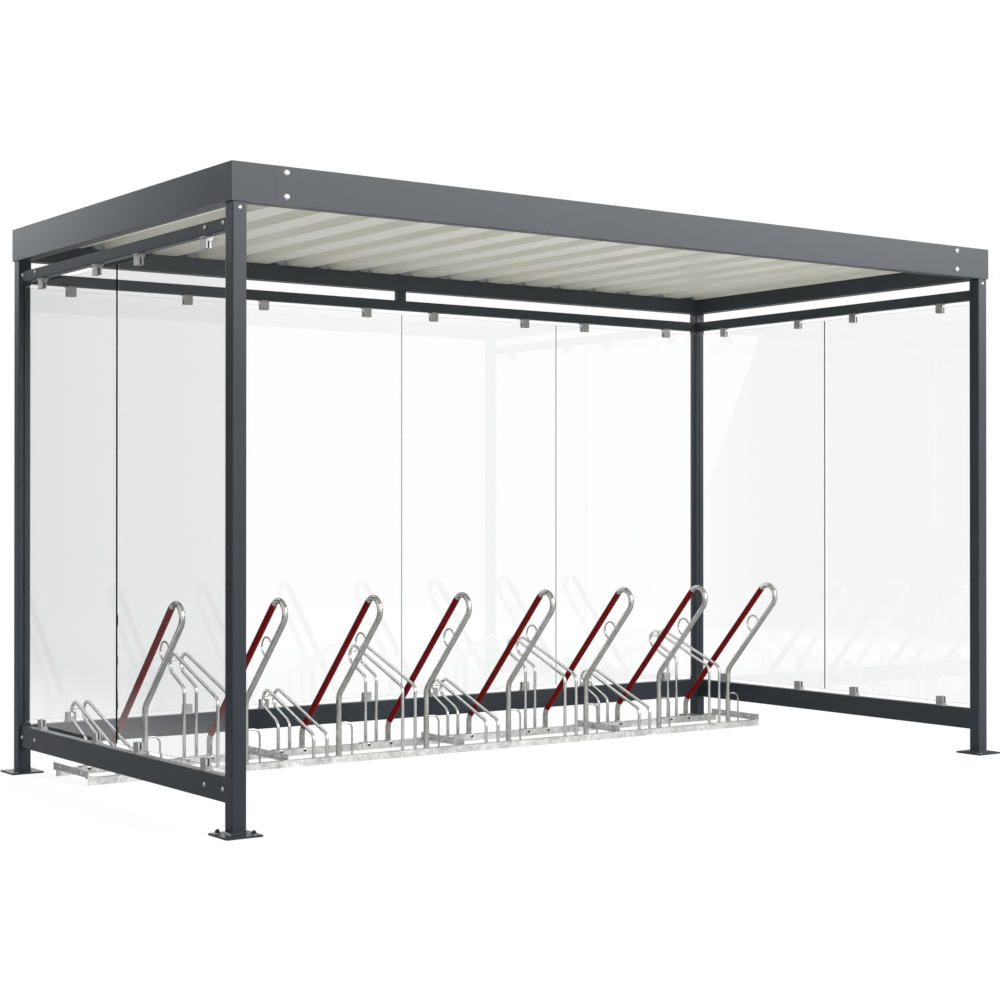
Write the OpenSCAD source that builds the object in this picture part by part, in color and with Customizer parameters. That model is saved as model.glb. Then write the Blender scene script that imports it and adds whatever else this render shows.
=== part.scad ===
// Free-standing bike shelter with a flat ribbed roof, glazed on three sides,
// and a two-height bike rack along its rear wall.
// Origin on the ground under the middle, X along the width, -Y is the open front.

/* [Overall] */
// Width over the outer faces of the posts
span_w = 4184; // [3800:1:4600]
// Depth over the outer faces of the posts
span_d = 2160; // [1900:1:2600]
// Ground to the top edge of the fascia
total_h = 2500; // [2300:1:2900]

/* [Posts] */
// Side of the square post tube
post_size = 60; // [56:1:80]
// Wall of the post tube
post_wall = 3; // [2:0.5:6]
// Inner corner radius of the posts, beams and rails
corner_inner_r = 2; // [0.5:0.5:4]
// Side of the welded foot plate
plate_size = 150; // [140:1:200]
// Thickness of the foot plate
plate_t = 8; // [5:1:15]
// Anchor hole in the foot plate
anchor_d = 14; // [9:0.5:18]
// Anchor hole from the post axis, along both sides of the plate
anchor_offset = 50; // [48:1:60]

/* [Roof frame] */
// Height of the edge beams
beam_h = 80; // [60:1:100]
// Width of the edge beams
beam_w = 60; // [50:1:80]
// Wall of the edge beams
beam_wall = 3; // [2:0.5:5]
// Height of the fascia
fascia_h = 146; // [130:1:180]
// Sheet thickness of the fascia
fascia_t = 3; // [2:0.5:4]
// Length of the side fascia's returns round the corners
fascia_return = 180; // [120:1:260]
// Open joint between fascia pieces
fascia_joint = 0.6; // [0.3:0.1:0.9]
// Leg length of the corner angles behind the fascia
corner_leg = 280; // [270:1:400]
// Thickness of the corner angles
corner_t = 3; // [2:0.5:5]
// Corner angle below the top edge of the fascia
corner_drop = 6; // [2:1:15]

/* [Roof sheets] */
// Distance between ribs
rib_pitch = 246; // [230:1:246]
// Height of a rib
rib_h = 35; // [20:1:50]
// Flat width on top of a rib
rib_crest = 66; // [40:1:90]
// Sideways run of a rib's sloping web
rib_web = 28; // [15:1:40]
// Sheet thickness
sheet_t = 1; // [0.6:0.1:2]
// Open lap between neighbouring sheets
sheet_lap = 0.6; // [0.3:0.1:0.9]
// Drip slot between the rear edge of the sheets and the rear face of the beam
drip_slot = 35; // [20:1:45]
// Front edge of the sheets behind the front face of the beam
sheet_inset = 4; // [2:1:20]

/* [Glazing] */
// Height of the upper rails
top_rail_h = 50; // [40:1:60]
// Clear gap between the upper rails and the edge beams
top_gap = 52; // [30:1:80]
// Height of the lower rails
bottom_rail_h = 100; // [80:1:120]
// Ground to the underside of the lower rails
bottom_rail_z = 118; // [80:1:160]
// Depth of the rails
rail_d = 40; // [36:1:50]
// Wall of the rails
rail_wall = 3; // [2:0.5:5]
// Width of the stub that hangs the rear upper rail
hanger_w = 50; // [40:1:70]
// Gap between a post and the nearest pane
pane_side_gap = 10; // [6:1:30]
// Thickness of the glass
pane_t = 8; // [6:1:10]
// Gap between neighbouring panes
pane_gap = 15; // [8:1:30]
// Gap between a pane's edge and the rail
pane_edge_gap = 20; // [15:1:24]
// Middle of a clamp from the nearer upright edge of its pane
clamp_in = 200; // [60:1:350]
// Length of a clamp along the rail
clamp_l = 45; // [35:1:60]
// Height of a clamp
clamp_h = 46; // [40:1:60]
// Thickness of a clamp's jaw
jaw_t = 8; // [5:0.5:9]
// Thickness of the rubber lining
lining_t = 2; // [1:0.5:3]
// Thickness of a clamp's foot
foot_t = 5; // [4:1:8]
// Width of a clamp's foot across the rail
foot_w = 38; // [36:1:40]

/* [Bike rack] */
// Clear space between a rack in the shelter's middle and the posts
rack_end_gap = 32; // [24:1:200]
// Rack to the right of the shelter's middle
rack_shift = 12; // [-12:1:12]
// Open joint between rack sections
section_joint = 0.6; // [0.3:0.1:0.9]
// Front face of the rack from the middle of the rear glass
rack_reach = 578; // [570:1:700]
// Front rack rail to rear rack rail, face to face
rack_depth = 355; // [345:1:365]
// Height of the rack rails
angle_h = 32; // [28:1:45]
// Width of the rack rails
angle_w = 36; // [36:1:45]
// Thickness of the rack rails
angle_t = 4; // [3:0.5:6]
// Leg of the cross ties between the rails
tie_leg = 30; // [24:1:40]
// Thickness of the cross ties
tie_t = 3; // [2:0.5:5]
// Hole near each end of a cross tie
tie_hole_d = 9; // [6:0.5:11]
// Hole of a cross tie from its end
tie_hole_in = 80; // [50:1:90]
// Thickness of the rear brackets
bracket_t = 4; // [3:0.5:6]
// Height of the rear brackets' front leg
bracket_leg = 26; // [20:1:28]
// Middle of the first hoop from the end of its section
first_hoop_x = 283; // [260:1:320]
// Bracket beyond the outer wheel loop
bracket_over = 25; // [14:1:30]
// Bracket beyond the hoop
bracket_end = 27; // [20:1:60]

/* [Lean hoops] */
// Hoop tube
hoop_d = 27; // [22:0.5:32]
// Height of the front leg's bend
hoop_bend_z = 324; // [300:1:350]
// Slope of the arms
hoop_angle = 46.5; // [45:0.5:48]
// Distance between the two arms
hoop_gap = 119; // [105:1:130]
// Length of the arms from the front leg's bend to the end bend
hoop_arm = 518; // [500:1:540]
// Bend radius of the legs, on the tube's axis
hoop_leg_r = 62; // [50:1:80]
// Wall of the coloured sleeve on the upper arm
sleeve_t = 1.8; // [1:0.1:3]
// Clearance between sleeve and tube
sleeve_fit = 0.2; // [0.1:0.1:0.5]
// Rod of the lock ring
ring_rod = 8; // [6:0.5:10]
// Lock ring radius on the rod's axis
ring_r = 43; // [40:1:44]
// Lock ring axis from the arm's axis
ring_offset = 35; // [35:1:38]
// Lock ring along the front arm, from the leg's bend
ring_along = 330; // [240:1:380]
// Rod of the guide arch
arch_rod = 9; // [6:0.5:11]
// Height of the guide arch
arch_z = 190; // [150:1:230]
// Leg of the guide arch from the hoop
arch_reach = 74; // [60:1:90]
// Bend radius of the guide arch
arch_r = 34; // [20:1:45]

/* [Wheel loops] */
// Loop tube
loop_d = 16; // [12:0.5:20]
// Hoop to the nearer loop of its pair
loop_in = 65; // [60:1:80]
// Distance between the two loops of a pair, at their front legs
loop_gap = 73; // [64:1:80]
// Turn of each loop towards the other one
loop_taper = 0.8; // [0:0.1:1.5]
// Height of the front bend of the high loops
high_bend_z = 342; // [300:1:380]
// Step between high and low loops
loop_step = 200; // [150:1:205]
// Slope of the front run
loop_front_angle = 21; // [19:1:22]
// Length of the front run, from the front bend to the end bend
loop_run = 479; // [460:1:485]
// Slope of the return run
loop_return_angle = 25; // [23:1:27]
// Radius of the end bend, on the tube's axis
loop_end_r = 48; // [44:1:50]
// Bend radius of the loop legs, on the tube's axis
loop_leg_r = 42; // [36:1:50]
// Bar between the two loops of a pair
cross_bar_d = 11; // [6:0.5:12]
// That bar on the end bend, as an angle above the bend's middle
cross_bar_angle = 22; // [-20:1:40]

/* [Hidden] */
$fn = 48;

// Derived heights
roof_z = total_h - fascia_h;
beam_top = roof_z + beam_h;
top_rail_top = roof_z - top_gap;
top_rail_z = top_rail_top - top_rail_h;
bottom_rail_top = bottom_rail_z + bottom_rail_h;
pane_z = bottom_rail_top + pane_edge_gap;
pane_h = top_rail_z - pane_edge_gap - pane_z;

// Derived places of the walls
post_x = (span_w - post_size) / 2;
post_y = (span_d - post_size) / 2;
clear_w = span_w - 2 * post_size;
clear_d = span_d - 2 * post_size;
panes_side = 2;
panes_rear = 4;
pane_w_side = (clear_d - 2 * pane_side_gap - (panes_side - 1) * pane_gap) / panes_side;
pane_w_rear = (clear_w - 2 * pane_side_gap - (panes_rear - 1) * pane_gap) / panes_rear;
slot_w = pane_t + 2 * lining_t;

// Derived places of the roof
skin = corner_t + fascia_t;
fascia_w = span_w + 2 * skin;
fascia_d = span_d + 2 * skin;
ribs_half = floor((span_w / 2 - rib_crest / 2 - rib_web) / rib_pitch);
sheet_ribs = 4;
sheet_x = [-span_w / 2 + sheet_inset, -sheet_ribs * rib_pitch, 0, sheet_ribs * rib_pitch,
    span_w / 2 - sheet_inset];

// Derived places of the rack
sections = 4;
hoops_in_section = 2;
section_l = (clear_w - 2 * rack_end_gap) / sections;
hoop_pitch = section_l / hoops_in_section;
rack_x = rack_shift - sections * section_l / 2;
rack_front_y = post_y - rack_reach;
leg_front_y = rack_front_y + angle_w / 2;
leg_rear_y = leg_front_y + rack_depth;
rack_rear_y = rack_front_y + rack_depth;
front_foot_z = angle_h;
rear_foot_z = angle_h + bracket_t;
bracket_x0 = -loop_in - loop_gap - bracket_over;

// Bends of the tubes: slimmer by this much, and reaching this far into the straight lengths
bend_slim = 0.05;
bend_lap = 1;

// Hoop outline in the depth plane, as [y, z]: bends, arm tips and the runs of the tube
hoop_turn = 90 - hoop_angle;
hoop_r = hoop_gap / 2;
hoop_dir = dir(90 + hoop_turn);
hoop_normal = dir(hoop_turn);
hoop_cut = hoop_leg_r * tan(hoop_turn / 2);
hoop_front = [leg_front_y, hoop_bend_z];
hoop_tip = hoop_front + hoop_arm * hoop_dir + hoop_gap * hoop_normal;
hoop_rear = [leg_rear_y, hoop_tip[1] - (leg_rear_y - hoop_tip[0]) * tan(hoop_angle)];
hoop_rear_arm = norm(hoop_tip - hoop_rear);
hoop_runs = [
    [hoop_bend_z - hoop_cut - front_foot_z, hoop_turn, hoop_leg_r],
    [hoop_arm - hoop_cut, -180, hoop_r],
    [hoop_rear_arm - hoop_cut, -hoop_turn, hoop_leg_r],
    [hoop_rear[1] - hoop_cut - rear_foot_z, 0, 0]];
sleeve_l = hoop_rear_arm - hoop_cut;

// Loop outline in the depth plane, from its front bend at [0, 0]
loop_front_turn = 90 - loop_front_angle;
loop_rear_turn = 90 - loop_return_angle;
loop_end_turn = 180 - loop_return_angle + loop_front_angle;
loop_front_cut = loop_leg_r * tan(loop_front_turn / 2);
loop_rear_cut = loop_leg_r * tan(loop_rear_turn / 2);
loop_end_centre = loop_run * dir(loop_front_angle) + loop_end_r * dir(loop_front_angle - 90);
loop_return_start = loop_end_centre + loop_end_r * dir(loop_return_angle - 90);
loop_return_run = (loop_return_start[0] - rack_depth) / cos(loop_return_angle);
loop_rear_rise = loop_return_start[1] - loop_return_run * sin(loop_return_angle);
cross_bar_at = loop_end_centre + loop_end_r * dir(cross_bar_angle);

anthracite = "#4a4e53";
cream = "#cfcdbf";
galvanised = "#b9bbbb";
wine_red = "#6b1f22";
stainless = "#c8c9c8";
rubber_black = "#161616";
clear_glass = "#dfe9e8";

// Runs of the tube of one loop, for its front bend at bend_z
function loop_runs(bend_z) = [
    [bend_z - loop_front_cut - front_foot_z, -loop_front_turn, loop_leg_r],
    [loop_run - loop_front_cut, -loop_end_turn, loop_end_r],
    [loop_return_run - loop_rear_cut, loop_rear_turn, loop_leg_r],
    [bend_z + loop_rear_rise - loop_rear_cut - rear_foot_z, 0, 0]];

// Middle of hoop number i along the rack, counted from the left
function hoop_x(i) = rack_x + first_hoop_x + i * hoop_pitch;
function loops_bend_z(i) = i % 2 == 0 ? high_bend_z - loop_step : high_bend_z;

// Middle of pane i of n panes in a row
function pane_mid(i, n, w) = (i - (n - 1) / 2) * (w + pane_gap);

// Outline of a square or rectangular tube with rounded corners
module round_rect(w, d, r) {
    square([w - 2 * r, d], center = true);
    square([w, d - 2 * r], center = true);
    for (sx = [-1, 1], sy = [-1, 1])
        translate([sx * (w / 2 - r), sy * (d / 2 - r)])
            circle(r);
}

// Outline of a rectangular tube with rolled corners
module tube_outline(w, d, wall, r) {
    difference() {
        round_rect(w, d, r);
        round_rect(w - 2 * wall, d - 2 * wall, r - wall);
    }
}

// Rectangular tube along X, centred, from x = 0 to length
module hollow_bar(length, h, d, wall) {
    rotate([90, 0, 90])
        linear_extrude(length)
            tube_outline(d, h, wall, wall + corner_inner_r);
}

// Direction of a heading in the flat plane, and the end of a straight length or a bend
function dir(a) = [cos(a), sin(a)];
function bend_centre(p, a, run) = p + sign(run[1]) * run[2] * dir(a + 90);
function run_end(pose, run) =
    let (p = pose[0] + run[0] * dir(pose[1]), a = pose[1])
    run[1] == 0 ? [p, a] :
    [bend_centre(p, a, run) - sign(run[1]) * run[2] * dir(a + run[1] + 90), a + run[1]];

// Round bar bent in the flat plane. Each run is [straight length, turn after it, bend radius].
// The bends are a hair slimmer and reach a little into the straight lengths.
module bent_bar(start, heading, runs, d) {
    last = len(runs) - 1;
    poses = [for (i = 0, pose = [start, heading]; i <= last; pose = run_end(pose, runs[i]), i = i + 1)
        pose];
    for (i = [0 : last]) {
        straight(poses[i], runs[i][0], d);
        if (runs[i][1] != 0)
            bend(poses[i], runs[i], d - 2 * bend_slim);
    }
}

// Straight length of a round bar from a pose [point, heading]
module straight(pose, length, d) {
    translate(pose[0])
        rotate(pose[1])
            rotate([0, 90, 0])
                cylinder(d = d, h = length);
}

// Bend of a round bar at the end of a run
module bend(pose, run, d) {
    lap = bend_lap / run[2] * 180 / PI;
    from = run[1] > 0 ? pose[1] - 90 : pose[1] + 90 + run[1];
    translate(bend_centre(pose[0] + run[0] * dir(pose[1]), pose[1], run))
        rotate(from - lap)
            rotate_extrude(angle = abs(run[1]) + 2 * lap)
                translate([run[2], 0])
                    circle(d = d);
}

// Places a flat drawing of [y, z] in the depth plane at x
module in_depth_plane(x) {
    translate([x, 0, 0])
        rotate([90, 0, 90])
            children();
}

// Square tube on a welded plate with two anchor holes on a diagonal
module post(sx, sy) {
    color(anthracite)
        translate([sx * post_x, sy * post_y, 0]) {
            difference() {
                translate([-plate_size / 2, -plate_size / 2, 0])
                    cube([plate_size, plate_size, plate_t]);
                for (s = [-1, 1])
                    translate([s * anchor_offset, -s * sx * sy * anchor_offset, -1])
                        cylinder(d = anchor_d, h = plate_t + 2);
            }
            translate([0, 0, plate_t])
                linear_extrude(roof_z - plate_t)
                    tube_outline(post_size, post_size, post_wall, post_wall + corner_inner_r);
        }
}

// Edge beams: the side ones run the full depth, the others fit between them
module beam_along_x(sy) {
    color(anthracite)
        translate([-span_w / 2 + beam_w, sy * (span_d - beam_w) / 2, roof_z + beam_h / 2])
            hollow_bar(span_w - 2 * beam_w, beam_h, beam_w, beam_wall);
}
module beam_along_y(sx) {
    color(anthracite)
        translate([sx * (span_w - beam_w) / 2, -span_d / 2, roof_z + beam_h / 2])
            rotate(90)
                hollow_bar(span_d, beam_h, beam_w, beam_wall);
}

// Angles round the four outer corners of the roof frame that carry the fascia
module corner_angles() {
    color(anthracite)
        for (sx = [0, 1], sy = [0, 1])
            mirror([sx, 0, 0])
                mirror([0, sy, 0])
                    translate([-span_w / 2 - corner_t, -span_d / 2 - corner_t, roof_z])
                        linear_extrude(fascia_h - corner_drop) {
                            square([corner_leg, corner_t]);
                            square([corner_t, corner_leg]);
                        }
}

// Straight front and rear fascia, between the returns of the side ones
module fascia_along_x(sy) {
    length = fascia_w - 2 * (fascia_return + fascia_joint);
    color(anthracite)
        translate([-length / 2, sy > 0 ? fascia_d / 2 - fascia_t : -fascia_d / 2, roof_z])
            cube([length, fascia_t, fascia_h]);
}

// Folded side fascia with a return round each corner
module fascia_along_y(sx) {
    color(anthracite)
        mirror([sx > 0 ? 1 : 0, 0, 0])
            translate([-fascia_w / 2, -fascia_d / 2, roof_z])
                linear_extrude(fascia_h) {
                    square([fascia_t, fascia_d]);
                    square([fascia_return, fascia_t]);
                    translate([0, fascia_d - fascia_t])
                        square([fascia_return, fascia_t]);
                }
}

// Underside of the ribbed sheet at x, and its corners between two edges
function rib_corners(i) =
    let (x = i * rib_pitch, flat = rib_crest / 2)
    [[x - flat - rib_web, 0], [x - flat, rib_h], [x + flat, rib_h], [x + flat + rib_web, 0]];
function rib_level(x) =
    let (off = abs(x - rib_pitch * round(x / rib_pitch)) - rib_crest / 2)
    abs(x) > (ribs_half + 0.5) * rib_pitch || off > rib_web ? 0 :
    off < 0 ? rib_h : rib_h * (1 - off / rib_web);
function sheet_line(x0, x1) = [
    [x0, rib_level(x0)],
    for (i = [-ribs_half : ribs_half])
        for (p = rib_corners(i))
            if (p[0] > x0 && p[0] < x1) p,
    [x1, rib_level(x1)]];

// Ribbed steel sheet, its ribs from front to rear, lying on the edge beams
module roof_sheet(k) {
    lap = sheet_lap / 2;
    line = sheet_line(sheet_x[k - 1] + (k == 1 ? 0 : lap), sheet_x[k] - (k == 4 ? 0 : lap));
    last = len(line) - 1;
    outline = concat(line, [for (i = [last : -1 : 0]) line[i] + [0, sheet_t]]);
    color(cream)
        translate([0, span_d / 2 - drip_slot, beam_top])
            rotate([90, 0, 0])
                linear_extrude(span_d - drip_slot - sheet_inset)
                    polygon(outline);
}

// Rails between the posts, upper and lower
module rail_along_x(z, h) {
    color(anthracite)
        translate([-clear_w / 2, post_y, z + h / 2])
            hollow_bar(clear_w, h, rail_d, rail_wall);
}
module rail_along_y(sx, z, h) {
    color(anthracite)
        translate([sx * post_x, -clear_d / 2, z + h / 2])
            rotate(90)
                hollow_bar(clear_d, h, rail_d, rail_wall);
}

// Stub tube between the rear beam and the middle of the rear upper rail
module rail_hanger() {
    color(anthracite)
        translate([0, post_y, top_rail_top])
            linear_extrude(top_gap)
                tube_outline(hanger_w, rail_d, rail_wall, rail_wall + corner_inner_r);
}

// Panes in one wall that runs along X, around its middle
module panes(n, w) {
    color(clear_glass, 0.35)
        for (i = [0 : n - 1])
            translate([pane_mid(i, n, w) - w / 2, -pane_t / 2, pane_z])
                cube([w, pane_t, pane_h]);
}

// Steel clamp on a rail: a foot and two jaws round the lined edge of a pane
module clamp() {
    color(stainless)
        rotate([90, 0, 90])
            translate([0, 0, -clamp_l / 2])
                linear_extrude(clamp_l)
                    difference() {
                        union() {
                            translate([-foot_w / 2, 0])
                                square([foot_w, foot_t]);
                            translate([-slot_w / 2 - jaw_t, 0])
                                square([slot_w + 2 * jaw_t, clamp_h]);
                        }
                        translate([-slot_w / 2, pane_edge_gap - lining_t])
                            square([slot_w, clamp_h]);
                    }
}

// Rubber channel between the jaws and the pane
module lining() {
    rotate([90, 0, 90])
        translate([0, 0, -clamp_l / 2])
            linear_extrude(clamp_l)
                difference() {
                    translate([-slot_w / 2, pane_edge_gap - lining_t])
                        square([slot_w, clamp_h - pane_edge_gap + lining_t]);
                    translate([-pane_t / 2, pane_edge_gap])
                        square([pane_t, clamp_h]);
                }
}

// Repeats a clamp or lining at every pane of a wall along X, below and above
module at_clamps(n, w) {
    for (i = [0 : n - 1], s = [-1, 1])
        translate([pane_mid(i, n, w) + s * (w / 2 - clamp_in), 0, 0]) {
            translate([0, 0, bottom_rail_top])
                children();
            translate([0, 0, top_rail_z])
                mirror([0, 0, 1])
                    children();
        }
}

// Moves what is drawn along X to the rear wall or to a side wall
module on_rear_wall() {
    translate([0, post_y, 0])
        children();
}
module on_side_wall(sx) {
    translate([sx * post_x, 0, 0])
        rotate(90)
            children();
}

module clamp_linings() {
    color(rubber_black) {
        on_rear_wall() at_clamps(panes_rear, pane_w_rear) lining();
        on_side_wall(-1) at_clamps(panes_side, pane_w_side) lining();
        on_side_wall(1) at_clamps(panes_side, pane_w_side) lining();
    }
}

// Rack rail: one angle per section, a front leg and a top leg
module rack_rail(y) {
    color(galvanised)
        for (k = [0 : sections - 1])
            translate([rack_x + k * section_l + section_joint / 2, y, 0])
                rotate([90, 0, 90])
                    linear_extrude(section_l - section_joint) {
                        square([angle_t, angle_h]);
                        translate([0, angle_h - angle_t])
                            square([angle_w, angle_t]);
                    }
}

// Angles across both rails at the end of each section, drilled at both ends
module rack_ties() {
    length = rack_depth + angle_w;
    color(galvanised)
        for (k = [0 : sections])
            translate([rack_x + k * section_l + (k == 0 ? 1 : -1) * section_joint / 2,
                rack_front_y, angle_h])
                mirror([k == 0 ? 1 : 0, 0, 0])
                    difference() {
                        union() {
                            translate([-tie_leg, 0, 0])
                                cube([tie_leg, length, tie_t]);
                            translate([-tie_t, 0, 0])
                                cube([tie_t, length, tie_leg]);
                        }
                        for (y = [tie_hole_in, length - tie_hole_in])
                            translate([-tie_t - 1, y, (tie_leg + tie_t) / 2])
                                rotate([0, 90, 0])
                                    cylinder(d = tie_hole_d, h = tie_t + 2);
                    }
}

// Hooked bracket on the rear rail under the rear legs of each hoop and its pair of loops
module holder_brackets() {
    length = bracket_end - bracket_x0;
    color(galvanised)
        for (i = [0 : sections * hoops_in_section - 1])
            translate([hoop_x(i) + bracket_x0, rack_rear_y - bracket_t, 0]) {
                translate([0, 0, angle_h])
                    cube([length, angle_w + bracket_t, bracket_t]);
                translate([0, 0, rear_foot_z - bracket_leg])
                    cube([length, bracket_t, bracket_leg]);
            }
}

// Lean hoop with its lock ring and the low guide arch beside its front leg
module lean_hoop(i) {
    ring_centre = hoop_front + ring_along * hoop_dir + ring_offset * hoop_normal;
    arch_runs = [[arch_reach - arch_r, -90, arch_r], [arch_z - arch_r - front_foot_z, 0, 0]];
    color(galvanised) {
        in_depth_plane(hoop_x(i)) {
            bent_bar([leg_front_y, front_foot_z], 90, hoop_runs, hoop_d);
            translate(ring_centre)
                rotate_extrude()
                    translate([ring_r, 0])
                        circle(d = ring_rod);
        }
        translate([hoop_x(i), leg_front_y, 0])
            rotate([90, 0, 0])
                bent_bar([0, arch_z], 0, arch_runs, arch_rod);
    }
}
module lean_hoops(section) {
    for (j = [0 : hoops_in_section - 1])
        lean_hoop((section - 1) * hoops_in_section + j);
}

// Coloured sleeve over the straight upper arm of each hoop
module hoop_sleeves() {
    bore = hoop_d + 2 * sleeve_fit;
    color(wine_red)
        for (i = [0 : sections * hoops_in_section - 1])
            in_depth_plane(hoop_x(i))
                translate(hoop_rear + hoop_cut * hoop_dir)
                    rotate(90 + hoop_turn)
                        rotate([0, 90, 0])
                            difference() {
                                cylinder(d = bore + 2 * sleeve_t, h = sleeve_l);
                                translate([0, 0, -1])
                                    cylinder(d = bore, h = sleeve_l + 2);
                            }
}

// Pair of loops that hold a front wheel, closer at their end bends and joined there by a bar
module wheel_loops(section) {
    bar_l = loop_gap - 2 * cross_bar_at[0] * sin(loop_taper);
    color(galvanised)
        for (j = [0 : hoops_in_section - 1]) {
            i = (section - 1) * hoops_in_section + j;
            bend_z = loops_bend_z(i);
            translate([hoop_x(i) - loop_in - loop_gap / 2, leg_front_y, 0]) {
                for (side = [-1, 1])
                    translate([side * loop_gap / 2, 0, 0])
                        rotate(side * loop_taper)
                            in_depth_plane(0)
                                bent_bar([0, front_foot_z], 90, loop_runs(bend_z), loop_d);
                translate([-bar_l / 2, cross_bar_at[0], bend_z + cross_bar_at[1]])
                    rotate([0, 90, 0])
                        cylinder(d = cross_bar_d, h = bar_l);
            }
        }
}

post(-1, -1);  // post_front_left
post(1, -1);  // post_front_right
post(-1, 1);  // post_rear_left
post(1, 1);  // post_rear_right
beam_along_x(-1);  // beam_front
beam_along_x(1);  // beam_rear
beam_along_y(-1);  // beam_left
beam_along_y(1);  // beam_right
corner_angles();
fascia_along_x(-1);  // fascia_front
fascia_along_x(1);  // fascia_rear
fascia_along_y(-1);  // fascia_left
fascia_along_y(1);  // fascia_right
roof_sheet(1);  // roof_sheet_1
roof_sheet(2);  // roof_sheet_2
roof_sheet(3);  // roof_sheet_3
roof_sheet(4);  // roof_sheet_4
rail_along_y(-1, top_rail_z, top_rail_h);  // top_rail_left
rail_along_x(top_rail_z, top_rail_h);  // top_rail_rear
rail_along_y(1, top_rail_z, top_rail_h);  // top_rail_right
rail_hanger();
rail_along_y(-1, bottom_rail_z, bottom_rail_h);  // bottom_rail_left
rail_along_x(bottom_rail_z, bottom_rail_h);  // bottom_rail_rear
rail_along_y(1, bottom_rail_z, bottom_rail_h);  // bottom_rail_right
on_side_wall(-1) panes(panes_side, pane_w_side);  // glass_left
on_rear_wall() panes(panes_rear, pane_w_rear);  // glass_rear
on_side_wall(1) panes(panes_side, pane_w_side);  // glass_right
on_side_wall(-1) at_clamps(panes_side, pane_w_side) clamp();  // clamps_left
on_rear_wall() at_clamps(panes_rear, pane_w_rear) clamp();  // clamps_rear
on_side_wall(1) at_clamps(panes_side, pane_w_side) clamp();  // clamps_right
clamp_linings();
rack_rail(rack_front_y);  // rack_front_rail
rack_rail(rack_rear_y);  // rack_rear_rail
rack_ties();
holder_brackets();
lean_hoops(1);  // lean_hoops_1
lean_hoops(2);  // lean_hoops_2
lean_hoops(3);  // lean_hoops_3
lean_hoops(4);  // lean_hoops_4
hoop_sleeves();
wheel_loops(1);  // wheel_loops_1
wheel_loops(2);  // wheel_loops_2
wheel_loops(3);  // wheel_loops_3
wheel_loops(4);  // wheel_loops_4
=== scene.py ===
import math

import bmesh
import bpy
import numpy as np
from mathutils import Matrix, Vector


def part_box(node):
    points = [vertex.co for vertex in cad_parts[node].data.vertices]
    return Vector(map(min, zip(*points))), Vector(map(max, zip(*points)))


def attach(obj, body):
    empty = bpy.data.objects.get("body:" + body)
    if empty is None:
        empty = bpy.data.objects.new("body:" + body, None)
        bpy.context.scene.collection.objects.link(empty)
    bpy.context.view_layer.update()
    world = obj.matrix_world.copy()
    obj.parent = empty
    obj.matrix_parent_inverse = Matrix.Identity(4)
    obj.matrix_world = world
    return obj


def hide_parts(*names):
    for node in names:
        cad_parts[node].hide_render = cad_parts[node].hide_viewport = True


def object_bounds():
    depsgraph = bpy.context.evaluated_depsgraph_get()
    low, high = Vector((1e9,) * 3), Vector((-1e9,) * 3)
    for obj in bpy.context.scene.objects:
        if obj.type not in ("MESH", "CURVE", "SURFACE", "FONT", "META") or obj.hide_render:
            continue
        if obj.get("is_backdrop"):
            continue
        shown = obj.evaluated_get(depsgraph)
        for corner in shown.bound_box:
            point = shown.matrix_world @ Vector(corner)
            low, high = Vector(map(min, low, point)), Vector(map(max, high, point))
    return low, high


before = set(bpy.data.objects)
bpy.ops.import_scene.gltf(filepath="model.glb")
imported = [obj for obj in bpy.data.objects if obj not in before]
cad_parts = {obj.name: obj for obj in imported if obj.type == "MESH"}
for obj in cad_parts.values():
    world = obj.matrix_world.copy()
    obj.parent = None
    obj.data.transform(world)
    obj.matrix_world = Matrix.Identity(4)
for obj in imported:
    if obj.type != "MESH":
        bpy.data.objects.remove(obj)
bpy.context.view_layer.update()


# Steel frame: posts, edge beams and glazing rails of rolled steel tube, cut and welded up, then powder-coated
# anthracite. The coat is satin with a fine grain; on the beams and upper rails it is duller, and lighter as
# painted light.
def node_tools(tree):
    """A function that adds a node with its sockets set, and one that links two sockets."""
    def add(kind, **sockets):
        node = tree.nodes.new("ShaderNode" + kind)
        for socket, value in sockets.items():
            node.inputs[socket].default_value = value
        return node

    return add, tree.links.new


def new_finish(name):
    """Empty finish: its material, a function that adds a node, one that links two sockets, its shader."""
    material = bpy.data.materials.new(name)
    material.use_nodes = True
    add, link = node_tools(material.node_tree)
    return material, add, link, material.node_tree.nodes["Principled BSDF"]


def noise_over(add, link, scale, detail, stretch=(1.0, 1.0, 1.0)):
    """Noise with about this many grains a metre, on the piece's own coordinates, stretched along its axes."""
    place = add("TexCoord")
    mapping = add("Mapping", Scale=stretch)
    noise = add("TexNoise", Scale=scale, Detail=detail)
    link(place.outputs["Object"], mapping.inputs["Vector"])
    link(mapping.outputs["Vector"], noise.inputs["Vector"])
    return noise.outputs["Fac"]


def shade_between(add, link, value, dark, light, low=0.3, high=0.7):
    """Colour that goes from dark to light as the value goes from low to high."""
    ramp = add("ValToRGB")
    ramp.color_ramp.elements[0].position = low
    ramp.color_ramp.elements[1].position = high
    ramp.color_ramp.elements[0].color = (*dark, 1.0)
    ramp.color_ramp.elements[1].color = (*light, 1.0)
    link(value, ramp.inputs["Fac"])
    return ramp.outputs["Color"]


def spread_between(add, link, value, low, high, start=0.3, end=0.7, smooth=False):
    """Number that goes from low to high as the value goes from start to end."""
    spread = add("MapRange")
    if smooth:
        spread.interpolation_type = "SMOOTHSTEP"
    spread.inputs["From Min"].default_value = start
    spread.inputs["From Max"].default_value = end
    spread.inputs["To Min"].default_value = low
    spread.inputs["To Max"].default_value = high
    link(value, spread.inputs["Value"])
    return spread.outputs["Result"]


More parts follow.
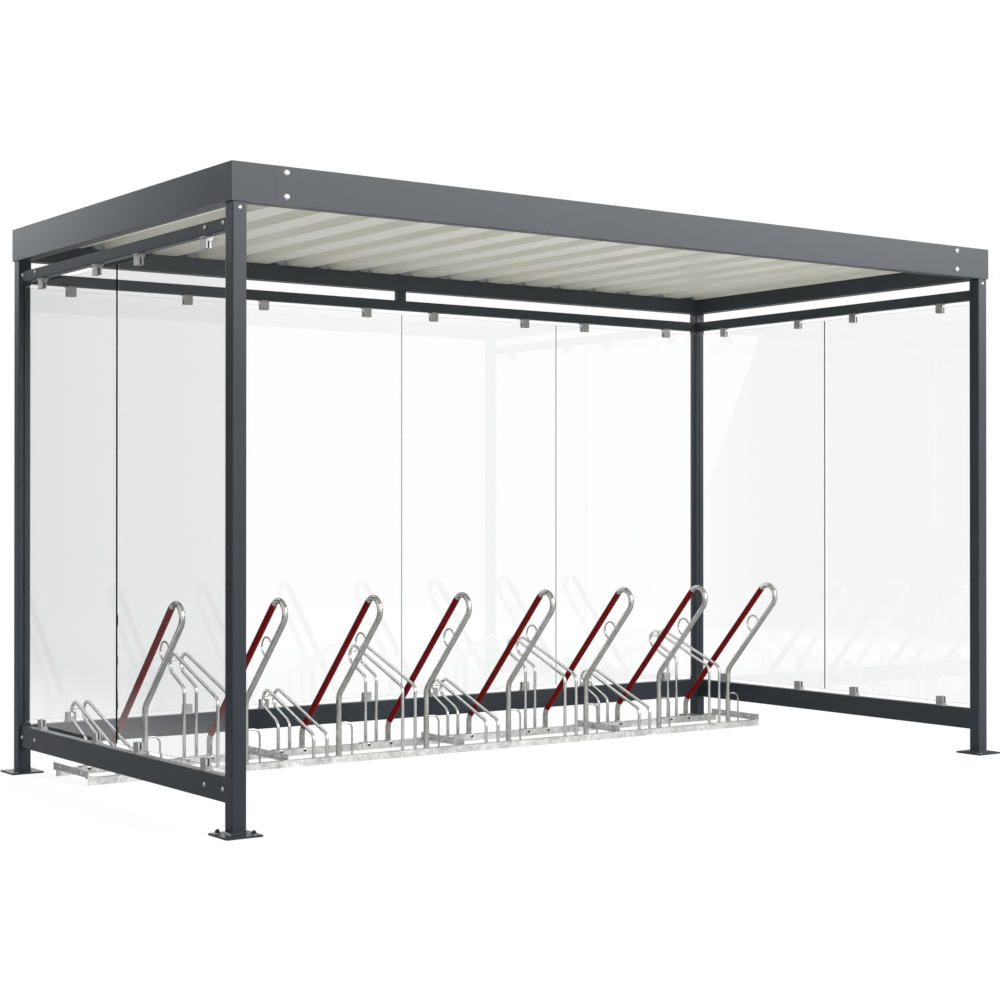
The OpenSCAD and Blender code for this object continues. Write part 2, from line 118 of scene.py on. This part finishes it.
def raise_surface(add, link, value, depth, shader):
    """Bump of this depth in metres, driven by a value from 0 to 1."""
    bump = add("Bump", Distance=depth)
    link(value, bump.inputs["Height"])
    link(bump.outputs["Normal"], shader.inputs["Normal"])


def powder_coat(name, dark, light, rough, specular):
    """Anthracite coat: fine grain in the surface, and a broad drift of tone and gloss over a metre or so."""
    material, add, link, shader = new_finish(name)
    drift = noise_over(add, link, scale=1.4, detail=3.0)
    grain = noise_over(add, link, scale=520.0, detail=2.0)
    link(shade_between(add, link, drift, dark, light), shader.inputs["Base Color"])
    link(spread_between(add, link, drift, rough, rough + 0.08), shader.inputs["Roughness"])
    raise_surface(add, link, grain, 0.00012, shader)
    shader.inputs["Specular IOR Level"].default_value = specular
    return material


def coat_nodes(names, material):
    """Gives CAD nodes their finish."""
    for name in names:
        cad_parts[name].material_slots[0].material = material


SIDES = ("left", "rear", "right")
POSTS = ("post_front_left", "post_front_right", "post_rear_left", "post_rear_right")
BEAMS = ("beam_front", "beam_rear", "beam_left", "beam_right")
TOP_RAILS = tuple(f"top_rail_{side}" for side in SIDES)
BOTTOM_RAILS = tuple(f"bottom_rail_{side}" for side in SIDES)
anthracite = powder_coat("anthracite_powder_coat", (0.027, 0.034, 0.042), (0.034, 0.042, 0.051),
                         rough=0.27, specular=0.25)
# The same coat for the beams, upper rails and hanger, duller, with a lighter tone that is painted light.
lightened_matte_anthracite = powder_coat("matte_anthracite_with_painted_light", (0.050, 0.058, 0.064), (0.061, 0.070, 0.077),
                              rough=0.42, specular=0.08)
coat_nodes((*POSTS, *BOTTOM_RAILS), anthracite)
coat_nodes((*BEAMS, *TOP_RAILS, "rail_hanger"), lightened_matte_anthracite)


# Welds: a fillet of weld runs round each post where it stands on its foot plate.
# It is coated with the post.
def grid_quads(copies, rows, columns, close_rows):
    """Quads between neighbours on each copy of a grid; columns close to rings, and rows may close too."""
    copy, row, column = np.meshgrid(np.arange(copies), np.arange(rows if close_rows else rows - 1),
                                    np.arange(columns), indexing="ij")
    row_on = (row + 1) % rows
    column_on = (column + 1) % columns
    start = copy * rows * columns
    corners = (row * columns + column, row_on * columns + column,
               row_on * columns + column_on, row * columns + column_on)
    return np.stack([start + corner for corner in corners], -1).reshape(-1, 4)


def make_piece(name, surfaces, material, close_rows=False, sharp=35.0):
    """Piece made of surfaces, each an array of copies x rows x columns x 3 that closes along its columns.
    Rows that shrink to a point are merged there, so that every shape is closed, and faces point outwards."""
    points, quads, count = [], [], 0
    for surface in surfaces:
        copies, rows, columns, _ = surface.shape
        points.append(surface.reshape(-1, 3))
        quads.append(count + grid_quads(copies, rows, columns, close_rows))
        count += copies * rows * columns
    mesh = bpy.data.meshes.new(name)
    mesh.from_pydata(np.concatenate(points).tolist(), [], np.concatenate(quads).tolist())
    shape = bmesh.new()
    shape.from_mesh(mesh)
    bmesh.ops.remove_doubles(shape, verts=shape.verts, dist=1e-6)
    bmesh.ops.recalc_face_normals(shape, faces=shape.faces)
    shape.to_mesh(mesh)
    shape.free()
    mesh.materials.append(material)
    mesh.shade_smooth()
    mesh.set_sharp_from_angle(angle=math.radians(sharp))
    made = bpy.data.objects.new(name, mesh)
    bpy.context.scene.collection.objects.link(made)
    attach(made, "root")
    return made


def corners_of(node):
    """Lowest and highest corner of a CAD node as arrays."""
    low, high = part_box(node)
    return np.array(low), np.array(high)


plate_t = 0.008
post_size = 0.060
post_corner = 0.005
weld_leg = 0.007
weld_in, weld_down = 0.001, 0.0005
post_low, post_high = zip(*(corners_of(name) for name in POSTS))
post_mid = (np.array(post_low) + np.array(post_high)) / 2 * [1, 1, 0]


def weld_round_square(places, half, corner, leg):
    """Fillet round square tubes: a closed section (distance out, height) is carried round a square whose
    corners are arcs. At angle t the point is the arc's centre plus (corner + out) times (cos t, sin t)."""
    section = np.array([(-weld_in, -weld_down), (leg, -weld_down), (0.62 * leg, 0.22 * leg),
                        (0.3 * leg, 0.5 * leg), (0.1 * leg, 0.85 * leg), (-weld_in, leg)])
    t = (np.arange(4)[:, None] * 90 + np.linspace(0.01, 89.99, 7)).ravel() * math.pi / 180
    ring = np.stack([np.cos(t), np.sin(t)], -1)
    flat = (half - corner) * np.sign(ring) + (corner + section[:, None, None, 0]) * ring
    height = np.broadcast_to(section[:, None, None, 1], (len(section), len(t), 1))
    fillet = np.concatenate([flat, height], -1)
    return places[:, None, None] + fillet[None]


weld = weld_round_square(post_mid + [0, 0, plate_t], post_size / 2, post_corner, weld_leg)
make_piece("post_welds", [weld], anthracite, close_rows=True)


# Ground anchors: two bolts on a diagonal of each foot plate, black domed hexagon nuts on bright washers.
# They hold the shelter down on its foundation.
def turned(profile, places, axis, sides=24):
    """Turned shape: each profile point (radius, height, hexagon share) goes round the axis at each place.
    At angle t it lies at place + height * axis + radius * k * (cos t * u + sin t * v); k is 1 on a circle
    and 1 / cos(angle from the nearest flat) on a hexagon."""
    axis = np.array(axis, float)
    across = np.array([1.0, 0.0, 0.0]) if abs(axis[2]) > 0.9 else np.array([0.0, 0.0, 1.0])
    u = np.cross(across, axis)
    v = np.cross(axis, u)
    t = np.linspace(0, 2 * math.pi, sides, endpoint=False)
    radius, height, share = np.array(profile, float).T
    hexagon = 1 / np.cos((t + math.pi / 6) % (math.pi / 3) - math.pi / 6)
    k = 1 + share[:, None] * (hexagon - 1)
    ring = np.cos(t)[:, None] * u + np.sin(t)[:, None] * v
    shape = height[:, None, None] * axis + (radius[:, None] * k)[..., None] * ring
    return np.asarray(places, float)[:, None, None] + shape[None]


def plated_steel(name, colour, rough, metallic, edge_tint=1.0):
    """Plated fastener: the tone and gloss drift over a few millimetres. The edge tint dims a metal where it
    turns away."""
    material, add, link, shader = new_finish(name)
    drift = noise_over(add, link, scale=180.0, detail=3.0)
    darker = tuple(0.8 * part for part in colour)
    link(shade_between(add, link, drift, darker, colour), shader.inputs["Base Color"])
    link(spread_between(add, link, drift, rough, rough + 0.12), shader.inputs["Roughness"])
    shader.inputs["Metallic"].default_value = metallic
    shader.inputs["Specular Tint"].default_value = (edge_tint, edge_tint, edge_tint, 1.0)
    return material


bright_steel = plated_steel("bright_fastener_steel", (0.58, 0.58, 0.57), rough=0.24, metallic=1.0,
                            edge_tint=0.5)
black_steel = plated_steel("black_fastener_steel", (0.008, 0.008, 0.0085), rough=0.50, metallic=0.0)
anchor_out = 0.050
diagonal = np.array([[1, -1, 0], [-1, 1, 0]])
hand = np.sign(post_mid[:, 0] * post_mid[:, 1])
mirror = np.stack([np.ones(len(POSTS)), hand, np.zeros(len(POSTS))], -1)
anchors = post_mid[:, None] + anchor_out * diagonal * mirror[:, None]
anchors = anchors.reshape(-1, 3) + [0, 0, plate_t]
washer = [(0, 0, 0), (0.0125, 0, 0), (0.0125, 0.0022, 0), (0.0118, 0.0027, 0), (0, 0.0027, 0)]
dome = np.radians(np.linspace(12, 90, 7))
cap_nut = [(0, 0.0025, 0), (0.0093, 0.0025, 1), (0.0093, 0.0085, 1), (0.0083, 0.0093, 0.4),
           *((0.0079 * math.cos(a), 0.0085 + 0.0080 * math.sin(a), 0) for a in dome)]
make_piece("anchor_washers", [turned(washer, anchors, (0, 0, 1))], bright_steel)
make_piece("anchor_nuts", [turned(cap_nut, anchors, (0, 0, 1))], black_steel)


# Frame bolts: button-head screws with a hexagon socket, bright zinc. Two sit near each end of every rail,
# and one near the top of each post. On the inner side a dark blind nut shows.
def button_head(radius, height, socket):
    """Profile of a button head on a thin collar, with a hexagon socket sunk into its crown."""
    crown = np.linspace(0.12, 1.0, 6) * math.pi / 2
    rim = 1.12 * socket
    return [(0, 0, 0), (radius, 0, 0), (radius, 0.12 * height, 0),
            *((rim + (radius * 0.96 - rim) * math.cos(a), height * math.sin(a), 0) for a in crown),
            (socket, 0.94 * height, 1), (socket, 0.4 * height, 1), (0, 0.3 * height, 0)]


def blind_nut(radius):
    """Profile of a blind nut: a low rim round a dished middle."""
    return [(0, 0, 0), (radius, 0, 0), (radius, 0.0007, 0), (0.8 * radius, 0.001, 0),
            (0.66 * radius, 0.0004, 0), (0, 0.0003, 0)]


frame_head = button_head(radius=0.0097, height=0.0052, socket=0.0034)
frame_nut = blind_nut(radius=0.0065)
first_ins, last_ins = np.array([0.036, 0.186]), np.array([0.018, 0.168])
bolt_up = {"top": 0.031, "bottom": 0.049}
outward = {"left": np.array([-1.0, 0, 0]), "rear": np.array([0, 1.0, 0]), "right": np.array([1.0, 0, 0])}
heads, nuts = [], []
for level in ("top", "bottom"):
    for side in SIDES:
        low, high = corners_of(f"{level}_rail_{side}")
        along = 1 if side != "rear" else 0
        out = outward[side]
        spots = np.concatenate([low[along] + first_ins, high[along] - last_ins])
        on_axis = np.tile((low + high) / 2, (4, 1))
        on_axis[:, along] = spots
        on_axis[:, 2] = low[2] + bolt_up[level]
        reach = (high - low)[1 - along] / 2 * out
        heads.append(turned(frame_head, on_axis + reach, out))
        nuts.append(turned(frame_nut, on_axis - reach, -out))
post_bolt_z = 2.330
for ends, out in (((0, 1), np.array([0, -1.0, 0])), ((2, 3), np.array([0, 1.0, 0]))):
    on_axis = post_mid[list(ends)] + [0, 0, post_bolt_z]
    heads.append(turned(frame_head, on_axis + post_size / 2 * out, out))
    nuts.append(turned(frame_nut, on_axis - post_size / 2 * out, -out))
make_piece("frame_bolts", heads, bright_steel)
make_piece("frame_blind_nuts", nuts, black_steel)


# Glass: toughened panes with ground and polished edges, two in each side wall and four in the rear one.
# They stand clear of the rails and posts. The side panes' edges are painted near black as painted shade, the
# rear ones paler as painted light.
def combine(add, link, operation, *values):
    """Result of an arithmetic node on sockets or plain numbers."""
    node = add("Math")
    node.operation = operation
    for socket, value in zip(node.inputs, values):
        if isinstance(value, float):
            socket.default_value = value
        else:
            link(value, socket)
    return node.outputs["Value"]


def mix_surface(tree, add, link, share, first, second, output="Material Output"):
    """Surface that goes from the first shader to the second as the share goes from 0 to 1."""
    mix = add("MixShader")
    link(share, mix.inputs["Fac"])
    link(first, mix.inputs[1])
    link(second, mix.inputs[2])
    link(mix.outputs["Shader"], tree.nodes[output].inputs["Surface"])


def clear_glass():
    """Clear pane that lets light through to what stands behind it."""
    material, add, link, shader = new_finish("clear_toughened_glass")
    shader.inputs["Base Color"].default_value = (0.984, 0.989, 0.987, 1.0)
    shader.inputs["Roughness"].default_value = 0.0
    shader.inputs["IOR"].default_value = 1.5
    shader.inputs["Transmission Weight"].default_value = 1.0
    rays = add("LightPath").outputs
    either = combine(add, link, "MAXIMUM", rays["Is Shadow Ray"], rays["Is Diffuse Ray"])
    see_through = add("BsdfTransparent", Color=(0.93, 0.95, 0.945, 1.0))
    mix_surface(material.node_tree, add, link, either, shader.outputs["BSDF"], see_through.outputs["BSDF"])
    return material


def glass_edge(name, dark, light):
    """Ground edge of the glass: a green tone, with a faint run of the grinding wheel along it. The dark and
    light given set its tone, painted shade on the side panes and painted light on the rear ones. From inside
    the pane it lets the light out."""
    material, add, link, shader = new_finish(name)
    grind = noise_over(add, link, scale=90.0, detail=2.0, stretch=(8.0, 8.0, 0.3))
    link(shade_between(add, link, grind, dark, light), shader.inputs["Base Color"])
    shader.inputs["Roughness"].default_value = 0.25
    shader.inputs["Specular IOR Level"].default_value = 0.0
    from_inside = add("NewGeometry").outputs["Backfacing"]
    mix_surface(material.node_tree, add, link, from_inside, shader.outputs["BSDF"],
                add("BsdfTransparent").outputs["BSDF"])
    return material


def panes(low, high, count, gap, along, chamfer):
    """Row of panes in a wall's box: rectangular rings go round each pane from face to face, set in by the
    chamfer on both faces, and shrink to the middle of the face at each end."""
    span = np.array(high) - low
    across = 1 - along
    width = (span[along] - (count - 1) * gap) / count
    middle = np.tile((np.array(low) + high) / 2, (count, 1))
    middle[:, along] = low[along] + width / 2 + np.arange(count) * (width + gap)
    corner = np.array([(-1, -1), (1, -1), (1, 1), (-1, 1)]) / 2
    depth = span[across]
    rings = ((0.0, -depth / 2), (1.0, -depth / 2), (1.0, chamfer - depth / 2), (1.0, depth / 2 - chamfer),
             (1.0, depth / 2), (0.0, depth / 2))
    inset = np.array([0, chamfer, 0, 0, chamfer, 0])
    share, place = np.array(rings).T
    shape = np.zeros((len(rings), 4, 3))
    shape[..., along] = share[:, None] * corner[:, 0] * (width - 2 * inset[:, None])
    shape[..., 2] = share[:, None] * corner[:, 1] * (span[2] - 2 * inset[:, None])
    shape[..., across] = place[:, None]
    return middle[:, None, None] + shape[None]


clear = clear_glass()
# One green glass edge in two tones: near black on the side panes is painted shade, paler on the rear panes is
# painted light.
shaded_pane_edge = glass_edge("shaded_glass_edge", (0.004, 0.006, 0.006), (0.012, 0.018, 0.017))
lit_pane_edge = glass_edge("lit_glass_edge", (0.30, 0.33, 0.325), (0.38, 0.41, 0.405))
pane_gap = 0.015
edge_chamfer = 0.001
for side, count in (("left", 2), ("rear", 4), ("right", 2)):
    low, high = corners_of(f"glass_{side}")
    along = 1 if side != "rear" else 0
    wall = panes(low, high, count, pane_gap, along, edge_chamfer)
    glazing = make_piece(f"glass_panes_{side}", [wall], clear, sharp=1.0)
    glazing.data.materials.append(lit_pane_edge if side == "rear" else shaded_pane_edge)
    facing = np.zeros(3 * len(glazing.data.polygons))
    glazing.data.polygons.foreach_get("normal", facing)
    on_edge = np.abs(facing.reshape(-1, 3)[:, 1 - along]) < 0.99
    glazing.data.polygons.foreach_set("material_index", on_edge.astype(np.int32))
    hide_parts(f"glass_{side}")


# Glass clamps: stainless blocks screwed to the rails, two below and two above each pane.
# A black rubber lining holds the glass between their jaws.
def satin_stainless():
    """Blasted stainless steel: grey, with a fine matt grain."""
    material, add, link, shader = new_finish("satin_stainless_steel")
    grain = noise_over(add, link, scale=700.0, detail=2.0)
    drift = noise_over(add, link, scale=25.0, detail=2.0)
    tone = shade_between(add, link, drift, (0.36, 0.36, 0.354), (0.46, 0.46, 0.452))
    link(tone, shader.inputs["Base Color"])
    link(spread_between(add, link, drift, 0.42, 0.54), shader.inputs["Roughness"])
    raise_surface(add, link, grain, 0.00008, shader)
    shader.inputs["Metallic"].default_value = 1.0
    return material


def black_rubber():
    """Moulded rubber: deep black and matt, with a fine grain."""
    material, add, link, shader = new_finish("black_rubber")
    grain = noise_over(add, link, scale=900.0, detail=2.0)
    link(shade_between(add, link, grain, (0.008, 0.008, 0.008), (0.016, 0.016, 0.016)),
         shader.inputs["Base Color"])
    shader.inputs["Roughness"].default_value = 0.7
    raise_surface(add, link, grain, 0.0001, shader)
    return material


coat_nodes([f"clamps_{side}" for side in SIDES], satin_stainless())
coat_nodes(["clamp_linings"], black_rubber())


# Roof: ribbed steel sheets lie on the edge beams, coil-coated cream.
# They were roll-formed, so a faint streak runs along the ribs.
def cream_coating():
    """Coil coating: satin cream, with faint streaks along the ribs and a broad drift of gloss."""
    material, add, link, shader = new_finish("cream_coil_coating")
    streak = noise_over(add, link, scale=30.0, detail=2.0, stretch=(1.0, 0.02, 1.0))
    drift = noise_over(add, link, scale=1.2, detail=2.0)
    link(shade_between(add, link, streak, (0.715, 0.69, 0.60), (0.76, 0.735, 0.645)),
         shader.inputs["Base Color"])
    link(spread_between(add, link, drift, 0.32, 0.42), shader.inputs["Roughness"])
    return material


ROOF_SHEETS = [f"roof_sheet_{number}" for number in (1, 2, 3, 4)]
coat_nodes(ROOF_SHEETS, cream_coating())


# Fascia: folded steel round the roof's edge, on angles at the four corners, powder-coated with the frame.
# Two button-head bolts hold each end of the front and rear pieces to the corner angles.
FASCIA = ("fascia_front", "fascia_rear", "fascia_left", "fascia_right")
coat_nodes((*FASCIA, "corner_angles"), anthracite)
bolt_in = 0.230
bolt_heights = (2.476, 2.3855)
fascia_head = button_head(radius=0.0140, height=0.0070, socket=0.0045)
side_low, side_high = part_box("fascia_left")[0][0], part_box("fascia_right")[1][0]
fascia_heads = []
for node, face, out in (("fascia_front", 0, (0, -1, 0)), ("fascia_rear", 1, (0, 1, 0))):
    y = corners_of(node)[face][1]
    spots = [(x, y, z) for x in (side_low + bolt_in, side_high - bolt_in) for z in bolt_heights]
    fascia_heads.append(turned(fascia_head, spots, out, sides=30))
make_piece("fascia_bolts", fascia_heads, bright_steel)


# Bike rack: angles, brackets and bent tubes, welded up and hot-dip galvanised.
# The angles are pale, with spangle in patches. The tubes are smoother: the hoops grey, the loops bright.
def zinc_coat(name, dark, light, spangle_size, rough, metallic, edge_tint):
    """Hot-dip zinc: each spangle cell has its own tone, over a broad drift of tone and gloss.
    The edge tint dims the metal where it turns away."""
    material, add, link, shader = new_finish(name)
    place = add("TexCoord")
    spangle = add("TexVoronoi", Scale=1 / spangle_size)
    link(place.outputs["Object"], spangle.inputs["Vector"])
    tone = add("SeparateColor")
    link(spangle.outputs["Color"], tone.inputs["Color"])
    drift = noise_over(add, link, scale=9.0, detail=4.0)
    both = combine(add, link, "MULTIPLY_ADD", tone.outputs["Red"], 0.35, drift)
    link(shade_between(add, link, both, dark, light, low=0.35, high=1.0), shader.inputs["Base Color"])
    link(spread_between(add, link, drift, rough, rough + 0.12), shader.inputs["Roughness"])
    shader.inputs["Metallic"].default_value = metallic
    shader.inputs["Specular Tint"].default_value = (edge_tint, edge_tint, edge_tint, 1.0)
    return material


angle_zinc = zinc_coat("spangled_zinc", (0.48, 0.48, 0.475), (0.88, 0.88, 0.87),
                       spangle_size=0.016, rough=0.28, metallic=0.5, edge_tint=0.35)
hoop_zinc = zinc_coat("even_zinc", (0.50, 0.50, 0.482), (0.74, 0.74, 0.715),
                      spangle_size=0.012, rough=0.10, metallic=1.0, edge_tint=0.08)
loop_zinc = zinc_coat("bright_zinc", (0.78, 0.78, 0.77), (0.90, 0.90, 0.89),
                      spangle_size=0.012, rough=0.07, metallic=1.0, edge_tint=0.12)
HOOPS = [f"lean_hoops_{number}" for number in (1, 2, 3, 4)]
LOOPS = [f"wheel_loops_{number}" for number in (1, 2, 3, 4)]
coat_nodes(["rack_front_rail", "rack_rear_rail", "rack_ties", "holder_brackets"], angle_zinc)
coat_nodes(HOOPS, hoop_zinc)
coat_nodes(LOOPS, loop_zinc)


# Rack fastening: a weld runs round the foot of every hoop, loop and guide arch, on the front rail and on
# the rear bracket. Two black hexagon bolts on bright washers hold each bracket to the rear rail.
first_hoop_x, hoop_pitch, hoop_count = -1.705, 0.500, 8
hoop_x = first_hoop_x + hoop_pitch * np.arange(hoop_count)
leg_front_y, leg_rear_y = 0.490, 0.845
front_foot_z, rear_foot_z = 0.032, 0.036
hoop_r, loop_r, arch_r = 0.0135, 0.008, 0.0045


def at_hoops(offsets, y, z):
    """Places beside every hoop, shifted along the rack by the offsets, at one depth and height."""
    x, off = np.meshgrid(hoop_x, offsets, indexing="ij")
    return np.stack([x + off, np.full(x.shape, y), np.full(x.shape, z)], -1).reshape(-1, 3)


def weld_ring(radius, leg):
    """Closed section of a weld ring that leans from the steel below up to a round tube."""
    return [(radius - weld_in, -weld_down, 0), (radius + leg, -weld_down, 0),
            (radius + 0.6 * leg, 0.25 * leg, 0), (radius + 0.25 * leg, 0.6 * leg, 0),
            (radius + 0.05 * leg, leg, 0), (radius - weld_in, leg, 0)]


hoop_legs, arch_legs = (0.0,), (0.074,)
loop_front_legs, loop_rear_legs = (-0.065, -0.138), (-0.070, -0.133)
hoop_weld, loop_weld, arch_weld = 0.005, 0.004, 0.003
FEET = ((hoop_r, hoop_weld, hoop_legs, leg_front_y, front_foot_z),
        (hoop_r, hoop_weld, hoop_legs, leg_rear_y, rear_foot_z),
        (loop_r, loop_weld, loop_front_legs, leg_front_y, front_foot_z),
        (loop_r, loop_weld, loop_rear_legs, leg_rear_y, rear_foot_z),
        (arch_r, arch_weld, arch_legs, leg_front_y, front_foot_z))
rings = [turned(weld_ring(radius, leg), at_hoops(offsets, y, z), (0, 0, 1))
         for radius, leg, offsets, y, z in FEET]
make_piece("rack_welds", rings, hoop_zinc, close_rows=True)

bracket_front_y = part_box("holder_brackets")[0][1]
bolt_offsets, bolt_z = (-0.126, 0.005), 0.025
bracket_bolts = at_hoops(bolt_offsets, bracket_front_y, bolt_z)
bolt_washer = [(0, 0, 0), (0.009, 0, 0), (0.009, 0.0013, 0), (0.0085, 0.0016, 0), (0, 0.0016, 0)]
hexagon_head = [(0, 0.001, 0), (0.005, 0.001, 1), (0.005, 0.0053, 1), (0.0042, 0.0060, 0.4), (0, 0.0060, 0)]
make_piece("bracket_washers", [turned(bolt_washer, bracket_bolts, (0, -1, 0))], bright_steel)
make_piece("bracket_bolts", [turned(hexagon_head, bracket_bolts, (0, -1, 0))], black_steel)


# Sleeves: dark red plastic tube, shrunk on the upper arm of each hoop against scratches.
# They cover the straight run of the arm, from its end bend to the bend above its rear leg.
def red_sleeve():
    """Shrunk plastic: dark red, with a soft gloss that drifts along the tube."""
    material, add, link, shader = new_finish("dark_red_sleeve")
    drift = noise_over(add, link, scale=14.0, detail=3.0)
    link(shade_between(add, link, drift, (0.155, 0.0058, 0.0070), (0.195, 0.0086, 0.0100)),
         shader.inputs["Base Color"])
    link(spread_between(add, link, drift, 0.34, 0.46), shader.inputs["Roughness"])
    shader.inputs["Specular IOR Level"].default_value = 0.05
    return material


coat_nodes(["hoop_sleeves"], red_sleeve())


# Stage: a pale floor under a white surround, and soft light from large panels.
# Dark cards beside the set show in reflections only, and draw the edges of the glass and the zinc.
def studio():
    """White surround that camera, gloss and glass see at full white, while it lights the part more gently."""
    world = bpy.data.worlds.new("white_studio")
    bpy.context.scene.world = world
    world.use_nodes = True
    tree = world.node_tree
    add, link = node_tools(tree)
    rays = add("LightPath").outputs
    seen = combine(add, link, "MAXIMUM", rays["Is Camera Ray"], rays["Is Glossy Ray"])
    seen = combine(add, link, "MAXIMUM", seen, rays["Is Transmission Ray"])
    light = tree.nodes["Background"]
    light.inputs["Color"].default_value = (1.0, 1.0, 1.0, 1.0)
    light.inputs["Strength"].default_value = 0.5
    white = add("Background", Color=(1.0, 1.0, 1.0, 1.0), Strength=1.0)
    mix_surface(tree, add, link, seen, light.outputs["Background"], white.outputs["Background"],
                output="World Output")


def pale_floor():
    """Pale floor that shows nearly white, also through glass, with the part's shadow left in it. Gloss sees
    it in a darker tone near the part, and white again from some metres away."""
    material, add, link, shader = new_finish("pale_floor")
    shader.inputs["Roughness"].default_value = 0.9
    rays = add("LightPath").outputs
    gloss = rays["Is Glossy Ray"]
    link(combine(add, link, "MULTIPLY_ADD", gloss, -0.26, 0.78), shader.inputs["Base Color"])
    distance = add("VectorMath")
    distance.operation = "LENGTH"
    link(add("TexCoord").outputs["Object"], distance.inputs[0])
    far = spread_between(add, link, distance.outputs["Value"], 0.0, 1.0, start=4.0, end=10.0, smooth=True)
    far_gloss = combine(add, link, "MULTIPLY", gloss, far)
    seen = combine(add, link, "MAXIMUM", rays["Is Camera Ray"], rays["Is Transmission Ray"])
    seen = combine(add, link, "MAXIMUM", seen, far_gloss)
    level = combine(add, link, "MULTIPLY_ADD", far, 0.067, 0.8)
    share = combine(add, link, "MULTIPLY", seen, level)
    glow = add("Emission", Color=(1.0, 1.0, 1.0, 1.0), Strength=1.10)
    mix_surface(material.node_tree, add, link, share, shader.outputs["BSDF"], glow.outputs["Emission"])
    return material


def stage_sheet(name, corners, material):
    """Flat sheet of the stage between four corners."""
    mesh = bpy.data.meshes.new(name)
    mesh.from_pydata(corners, [], [(0, 1, 2, 3)])
    mesh.materials.append(material)
    sheet = bpy.data.objects.new(name, mesh)
    bpy.context.scene.collection.objects.link(sheet)
    sheet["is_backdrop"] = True
    return sheet


studio()
floor_reach = 60.0
floor_corners = np.array([(-1, -1, 0), (1, -1, 0), (1, 1, 0), (-1, 1, 0)]) * floor_reach
stage_sheet("floor", floor_corners.tolist(), pale_floor())


def light_panel(name, place, target, width, height, power, colour):
    """Soft light panel that faces a point, and that only its light and its reflection show."""
    light = bpy.data.lights.new(name, "AREA")
    light.shape = "RECTANGLE"
    light.size = width
    light.size_y = height
    light.energy = power
    light.color = colour
    panel = bpy.data.objects.new(name, light)
    panel.location = place
    away = np.array(place) - target
    panel.rotation_euler = (math.atan2(math.hypot(away[0], away[1]), away[2]), 0,
                            math.atan2(away[1], away[0]) + math.pi / 2)
    panel.visible_camera = False
    panel.visible_transmission = False
    bpy.context.scene.collection.objects.link(panel)


light_panel("front_panel", (5.6, -10.1, 6.2), target=(0, 0, 1.2), width=15.0, height=5.5, power=1850,
            colour=(1.0, 1.0, 1.0))
light_panel("rear_left_panel", (-1.8, 7.5, 5.0), target=(-1.8, 0, 2.0), width=6.5, height=4.0, power=265,
            colour=(0.90, 0.95, 1.0))


def dark_card(name, corners, fade_start, fade_run):
    """Dark card beside the set, as for any glass or bright metal on white: only reflections show it, so that
    it draws their edges. Along its first side it fades in over the run from the fade start."""
    material, add, link, _ = new_finish(name)
    place = add("TexCoord")
    along = add("SeparateXYZ")
    link(place.outputs["Object"], along.inputs["Vector"])
    axis = "X" if abs(corners[1][0] - corners[0][0]) > abs(corners[1][1] - corners[0][1]) else "Y"
    fade = spread_between(add, link, along.outputs[axis], 0.0, 1.0, start=fade_start,
                          end=fade_start + fade_run, smooth=True)
    seen = add("Math")
    seen.operation = "MULTIPLY"
    seen.use_clamp = True
    link(add("LightPath").outputs["Glossy Depth"], seen.inputs[0])
    link(fade, seen.inputs[1])
    grey = add("Emission", Color=(0.12, 0.12, 0.12, 1.0))
    mix_surface(material.node_tree, add, link, seen.outputs["Value"], add("BsdfTransparent").outputs["BSDF"],
                grey.outputs["Emission"])
    card = stage_sheet(name, corners, material)
    card.visible_camera = False
    card.visible_diffuse = False
    card.visible_shadow = False


left_edge, far_left, rear_line = -3.2, -10.5, 7.5
near_top, far_top = 0.2, 16.0
dark_card("left_card", [(left_edge, rear_line, 0), (far_left, rear_line, 0), (far_left, rear_line, far_top),
                        (left_edge, rear_line, near_top)], fade_start=left_edge, fade_run=-1.6)
floor_edge, floor_front, lift = -2.8, -2.0, 0.004
dark_card("floor_card", [(floor_edge, floor_front, lift), (far_left, floor_front, lift),
                         (far_left, rear_line, lift), (floor_edge, rear_line, lift)],
          fade_start=floor_edge, fade_run=-1.8)
right_line, right_front, right_rear, right_top = 9.0, -3.5, 6.0, 4.0
dark_card("right_card", [(right_line, right_front, 0), (right_line, right_rear, 0),
                         (right_line, right_rear, right_top), (right_line, right_front, right_top)],
          fade_start=right_front, fade_run=1.5)


# Camera: eye height, in front of the left corner, as in the photograph.
# Then the box of the finished part is found.
lens_mm = 68.55
eye = (-5.3702, -7.3723, 1.2149)
turn_right = 35.52
tilt_up = 0.255
camera_data = bpy.data.cameras.new("camera")
camera_data.lens = lens_mm
camera_data.sensor_width = 36.0
camera = bpy.data.objects.new("camera", camera_data)
camera.location = eye
camera.rotation_euler = (math.radians(90 + tilt_up), 0, -math.radians(turn_right))
bpy.context.scene.collection.objects.link(camera)
bpy.context.scene.camera = camera
bpy.context.scene.view_settings.view_transform = "Standard"

low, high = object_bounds()
